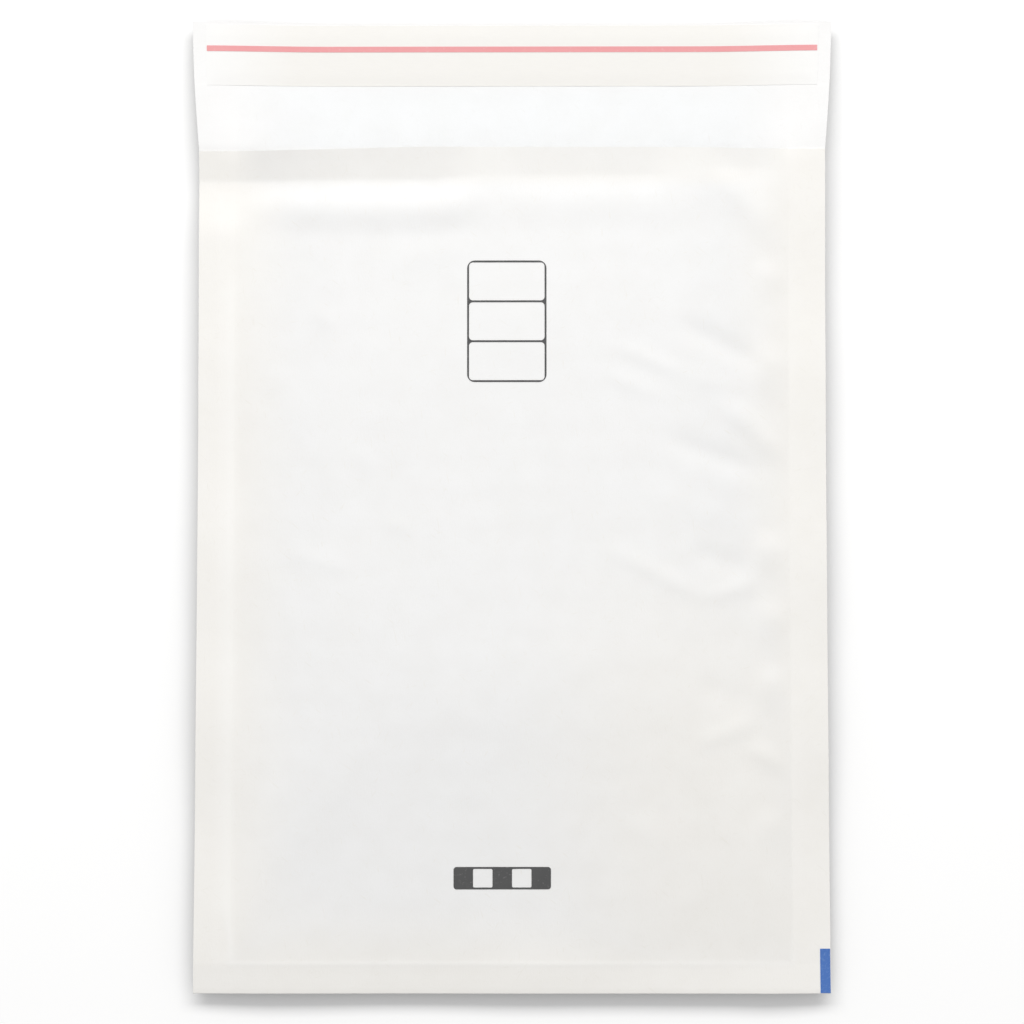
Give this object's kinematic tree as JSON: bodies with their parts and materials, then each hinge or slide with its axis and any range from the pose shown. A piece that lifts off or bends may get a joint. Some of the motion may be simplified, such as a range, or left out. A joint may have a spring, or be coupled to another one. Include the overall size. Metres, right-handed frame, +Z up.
{
  "type": "padded envelope",
  "caption": "White paper envelope with a bubble film lining, opened flap and a peel-off sealing strip, lying flat on its back.",
  "frame": {"origin": "on the table under the middle of the outline", "axes": "+Y from the bottom fold to the tip of the opened flap, +Z up from the back panel to the front panel"},
  "size_m": [0.17, 0.259, 0.0104],
  "materials": {
    "white_kraft": "matt, faintly fibrous",
    "bubble_film": "translucent film with air bubbles",
    "hot_melt": "tacky, slightly glossy",
    "silicone_paper": "smooth satin",
    "red_ink": "printed, matt",
    "blue_ink": "printed, matt",
    "dark_ink": "printed, matt"
  },
  "bodies": {
    "root": {"outer_paper": "white_kraft", "bubble_liner": "bubble_film", "adhesive_strip": "hot_melt", "release_paper": "silicone_paper", "red_line": "red_ink", "edge_mark": "blue_ink", "ruled_panel": "dark_ink", "tone_strip": "dark_ink"}
  },
  "joints": []
}
